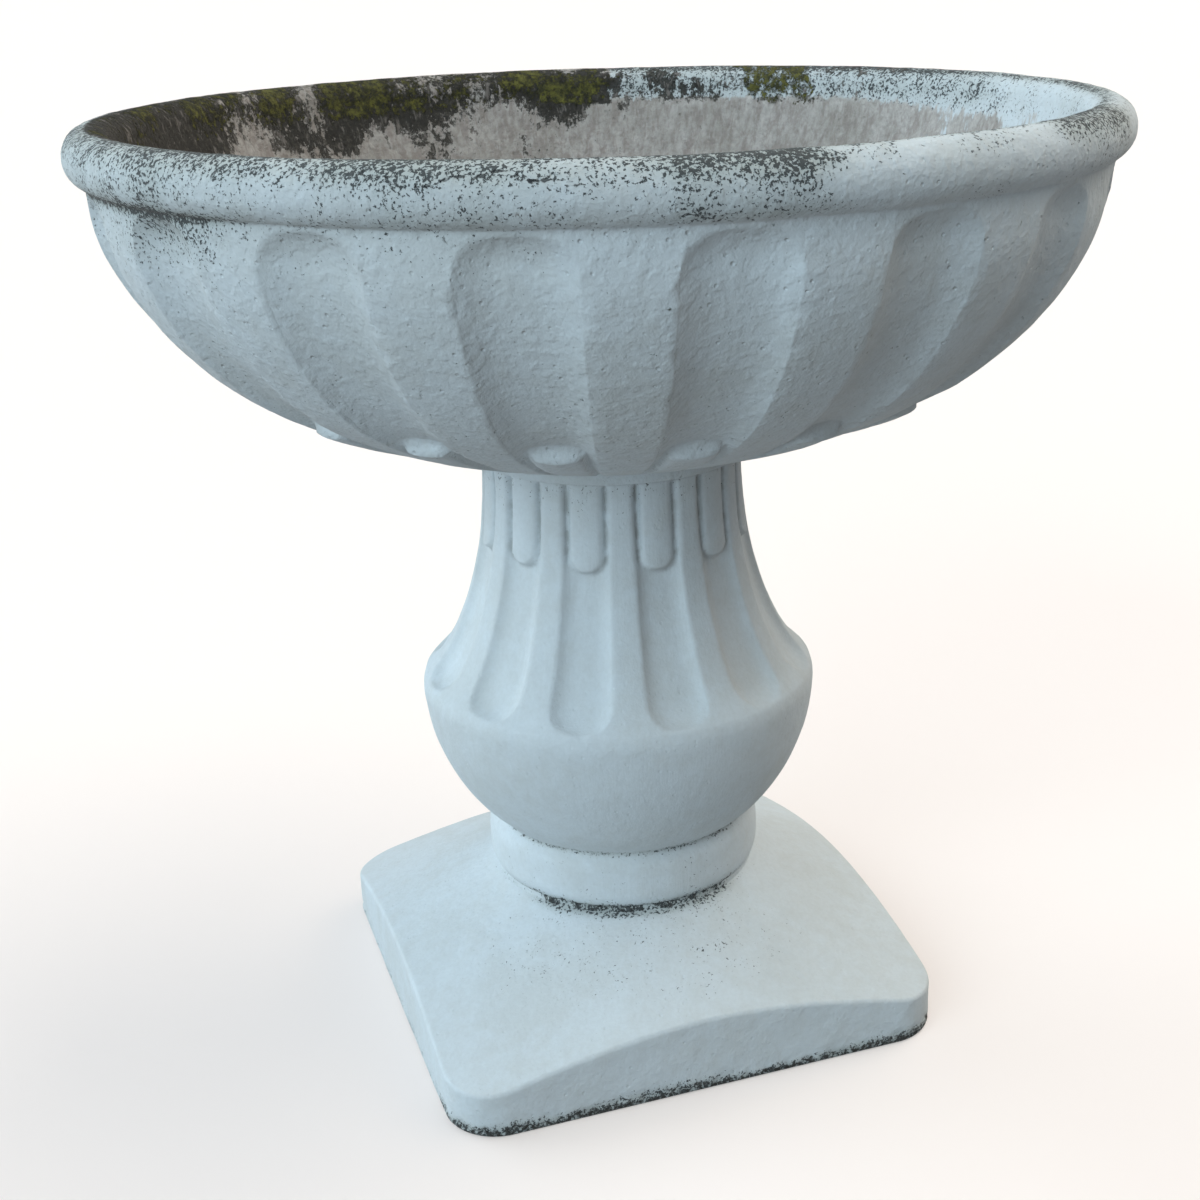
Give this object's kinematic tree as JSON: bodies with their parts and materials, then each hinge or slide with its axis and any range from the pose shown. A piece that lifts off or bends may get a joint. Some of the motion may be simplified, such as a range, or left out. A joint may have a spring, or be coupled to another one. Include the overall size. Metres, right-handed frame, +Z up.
{
  "type": "bird bath",
  "caption": "Free-standing garden bird bath: a wide round fluted bowl with a rolled rim, loose on a fluted baluster pedestal that is bedded on a square crowned plinth.",
  "frame": {"origin": "on the ground, on the pedestal's axis", "axes": "+Z up along the pedestal's axis; X and Y square with the plinth's sides"},
  "size_m": [0.5999, 0.6, 0.5705],
  "materials": {
    "bowl_concrete": "white masonry paint over cast concrete, worn and lichened",
    "pedestal_concrete": "white masonry paint over cast concrete, brushed",
    "plinth_concrete": "white masonry paint over cast concrete, dirty at the foot",
    "mortar": "rough grey mortar, dirt-filled",
    "reinforcement_steel": "plain bar, light rust",
    "pin_steel": "dull galvanised"
  },
  "bodies": {
    "base": {"plinth": "plinth_concrete", "plinth_bars_x": "reinforcement_steel", "plinth_bars_y": "reinforcement_steel", "plinth_bedding": "mortar", "plinth_dowel": "pin_steel", "pedestal": "pedestal_concrete", "pedestal_bars": "reinforcement_steel", "pedestal_ties": "reinforcement_steel", "pedestal_head_sleeve": "pin_steel"},
    "pin": {"bowl_pin": "pin_steel"},
    "bowl": {"bowl": "bowl_concrete", "bowl_rim_hoop": "reinforcement_steel", "bowl_wall_hoop": "reinforcement_steel", "bowl_foot_ring": "reinforcement_steel", "bowl_ribs": "reinforcement_steel", "bowl_sleeve": "pin_steel"}
  },
  "joints": [
    {"name": "bowl_turn", "type": "hinge", "parent": "base", "child": "pin", "pos_m": [0, 0, 0.364], "axis": [0, 0, 1], "continuous": true},
    {"name": "bowl_lift", "type": "slide", "parent": "pin", "child": "bowl", "axis": [0, 0, 1], "range_m": [0, 0.06]}
  ]
}
